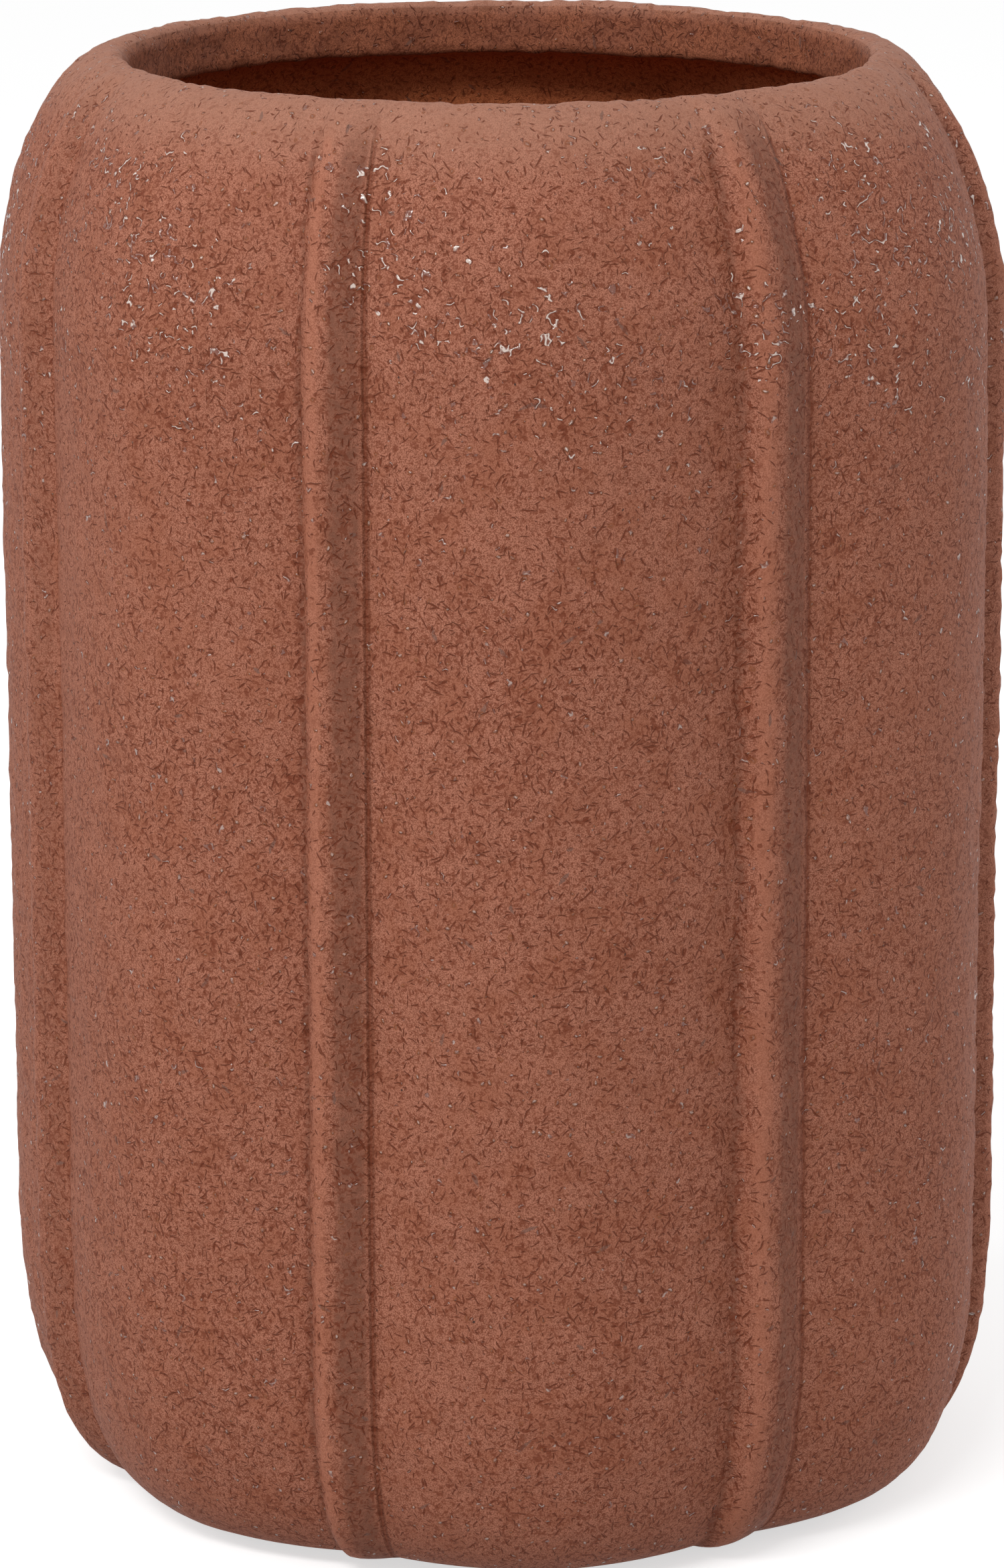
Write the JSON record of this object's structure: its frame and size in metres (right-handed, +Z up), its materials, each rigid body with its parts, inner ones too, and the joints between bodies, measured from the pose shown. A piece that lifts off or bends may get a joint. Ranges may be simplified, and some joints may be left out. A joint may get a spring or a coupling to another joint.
{
  "type": "ribbed planter",
  "caption": "Tall round stoneware planter: domed wall panels between narrow upright ribs, rounded shoulder, wide round mouth, plugged drain hole and padded foot.",
  "frame": {"origin": "centre of the footprint, on the ground under the foot pads", "axes": "+Z up along the pot's axis, towards the mouth; -Y is the front, at the middle of a panel; a rib stands at the back, at +Y; +X is to the right of a viewer at the front"},
  "size_m": [0.2068, 0.2082, 0.3],
  "materials": {
    "stoneware": "matte red-brown slip, thick with short dark needle marks and small glossy flecks",
    "plug_rubber": "matte black moulded rubber",
    "pad_rubber": "matte dark grey self-adhesive rubber"
  },
  "bodies": {
    "pot": {"pot_body": "stoneware", "foot_pad_1": "pad_rubber", "foot_pad_2": "pad_rubber", "foot_pad_3": "pad_rubber", "foot_pad_4": "pad_rubber"},
    "plug": {"drain_plug": "plug_rubber"}
  },
  "joints": [
    {"name": "plug_lift", "type": "slide", "parent": "pot", "child": "plug", "axis": [0, 0, 1], "range_m": [0, 0.32]}
  ]
}
